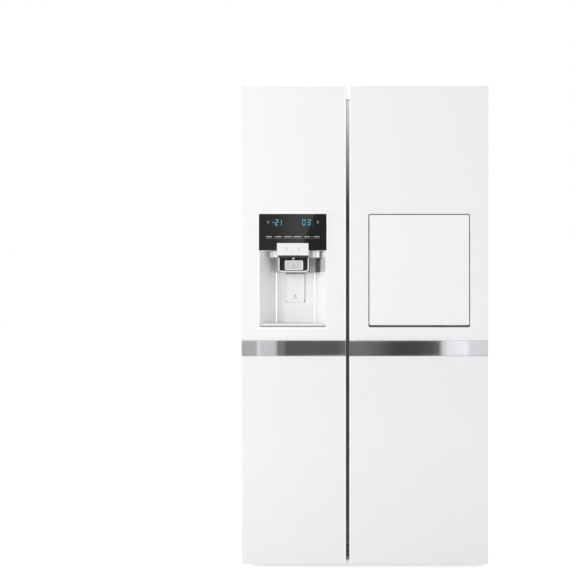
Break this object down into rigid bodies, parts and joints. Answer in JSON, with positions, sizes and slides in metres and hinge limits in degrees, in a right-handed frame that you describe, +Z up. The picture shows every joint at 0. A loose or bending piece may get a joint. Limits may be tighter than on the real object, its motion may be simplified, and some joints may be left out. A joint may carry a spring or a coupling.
{
  "type": "side by side refrigerator",
  "caption": "Side by side refrigerator with glass-faced doors, a dispenser recess in the freezer door and a drop-down home bar door; doors, pads, tray, fans and rollers move.",
  "frame": {"origin": "on the floor under the middle of the whole object", "axes": "+Z up, -Y towards the user in front of the doors, +X to that user's right"},
  "size_m": [0.895, 0.735, 1.7655],
  "materials": {
    "white_glass": "gloss",
    "mirror_band": "polished",
    "white_steel": "satin",
    "zinc_steel": "satin",
    "black_steel": "satin",
    "copper_tube": "satin",
    "aluminium_fin": "satin",
    "white_plastic": "satin",
    "grey_plastic": "satin",
    "black_plastic": "matte",
    "black_glass": "gloss",
    "clear_plastic": "gloss",
    "shelf_glass": "gloss",
    "seal_rubber": "matte",
    "dark_rubber": "matte",
    "foam": "matte"
  },
  "bodies": {
    "cabinet": {"cabinet_shell": "white_steel", "back_panel": "zinc_steel", "cabinet_foam": "foam", "freezer_liner": "white_plastic", "fridge_liner": "white_plastic", "face_frame": "white_steel", "base_frame": "zinc_steel", "kick_grille": "white_plastic", "compressor": "black_steel", "condenser_coil": "copper_tube", "fan_shroud": "black_plastic", "drain_pan": "black_plastic", "bay_cover": "black_plastic", "evaporator_coil": "aluminium_fin", "evaporator_cover": "white_plastic", "air_duct": "white_plastic", "fridge_shelf_upper": "shelf_glass", "fridge_shelf_lower": "shelf_glass", "crisper_drawer": "clear_plastic", "freezer_shelf": "shelf_glass", "freezer_drawer": "clear_plastic", "ice_maker": "grey_plastic", "ice_bucket": "clear_plastic", "top_hinge_left": "zinc_steel", "top_hinge_right": "zinc_steel", "bottom_hinge_left": "zinc_steel", "bottom_hinge_right": "zinc_steel", "hinge_cover_left": "white_plastic", "hinge_cover_right": "white_plastic", "levelling_foot_left": "dark_rubber", "levelling_foot_right": "dark_rubber"},
    "freezer_door": {"freezer_door_body": "white_steel", "freezer_door_glass_upper": "white_glass", "freezer_door_band": "mirror_band", "freezer_door_glass_lower": "white_glass", "freezer_door_liner": "white_plastic", "freezer_door_gasket": "seal_rubber", "freezer_door_bin": "clear_plastic", "dispenser_housing": "white_plastic", "dispenser_panel": "black_glass", "dispenser_chute": "white_plastic"},
    "fridge_door": {"fridge_door_body": "white_steel", "fridge_door_glass_upper": "white_glass", "fridge_door_band": "mirror_band", "fridge_door_glass_lower": "white_glass", "fridge_door_liner": "white_plastic", "fridge_door_gasket": "seal_rubber", "fridge_door_bin": "clear_plastic", "home_bar_frame": "white_plastic"},
    "home_bar": {"home_bar_door": "white_plastic", "home_bar_glass": "white_glass"},
    "ice_pad": {"ice_lever": "grey_plastic"},
    "duct_flap": {"ice_flap": "dark_rubber"},
    "water_paddle": {"water_lever": "white_plastic"},
    "tray": {"drip_tray": "grey_plastic"},
    "bay_fan": {"condenser_fan": "grey_plastic"},
    "cold_fan": {"evaporator_fan": "black_plastic"},
    "auger": {"ice_auger": "zinc_steel"},
    "roller_left": {"rear_roller_left": "dark_rubber"},
    "roller_right": {"rear_roller_right": "dark_rubber"}
  },
  "joints": [
    {"name": "freezer_door_hinge", "type": "hinge", "parent": "cabinet", "child": "freezer_door", "pos_m": [-0.4295, -0.3235, 0.9], "axis": [0, 0, -1], "range_deg": [0, 120]},
    {"name": "fridge_door_hinge", "type": "hinge", "parent": "cabinet", "child": "fridge_door", "pos_m": [0.4295, -0.3235, 0.9], "axis": [0, 0, 1], "range_deg": [0, 120]},
    {"name": "home_bar_hinge", "type": "hinge", "parent": "fridge_door", "child": "home_bar", "pos_m": [0.19675, -0.3575, 0.9], "axis": [1, 0, 0], "range_deg": [0, 90]},
    {"name": "ice_pad_pivot", "type": "hinge", "parent": "freezer_door", "child": "ice_pad", "pos_m": [-0.262, -0.3165, 1.161], "axis": [1, 0, 0], "range_deg": [0, 16], "stiffness_Nm_per_rad": 0.4, "springref_deg": -8.59},
    {"name": "duct_flap_pivot", "type": "hinge", "parent": "freezer_door", "child": "duct_flap", "pos_m": [-0.262, -0.2815, 1.205], "axis": [1, 0, 0], "range_deg": [0, 60], "stiffness_Nm_per_rad": 0.2, "springref_deg": -8.59},
    {"name": "water_paddle_pivot", "type": "hinge", "parent": "freezer_door", "child": "water_paddle", "pos_m": [-0.262, -0.2575, 1.071], "axis": [1, 0, 0], "range_deg": [0, 7], "stiffness_Nm_per_rad": 0.6, "springref_deg": -5.73},
    {"name": "drip_tray_slide", "type": "slide", "parent": "freezer_door", "child": "tray", "axis": [0, -1, 0], "range_m": [0, 0.06]},
    {"name": "bay_fan_spin", "type": "hinge", "parent": "cabinet", "child": "bay_fan", "pos_m": [0.06, 0.2415, 0.192], "axis": [1, 0, 0], "continuous": true},
    {"name": "cold_fan_spin", "type": "hinge", "parent": "cabinet", "child": "cold_fan", "pos_m": [-0.25225, 0.2285, 0.862], "axis": [0, 1, 0], "continuous": true},
    {"name": "auger_spin", "type": "hinge", "parent": "cabinet", "child": "auger", "pos_m": [-0.262, 0.1268, 1.446], "axis": [0, 1, 0], "continuous": true},
    {"name": "roller_left_spin", "type": "hinge", "parent": "cabinet", "child": "roller_left", "pos_m": [-0.3755, 0.3075, 0.021], "axis": [1, 0, 0], "continuous": true},
    {"name": "roller_right_spin", "type": "hinge", "parent": "cabinet", "child": "roller_right", "pos_m": [0.3755, 0.3075, 0.021], "axis": [1, 0, 0], "continuous": true}
  ],
  "couplings": [
    {"joint": "duct_flap_pivot", "follows": "ice_pad_pivot", "ratio": 3.75}
  ]
}
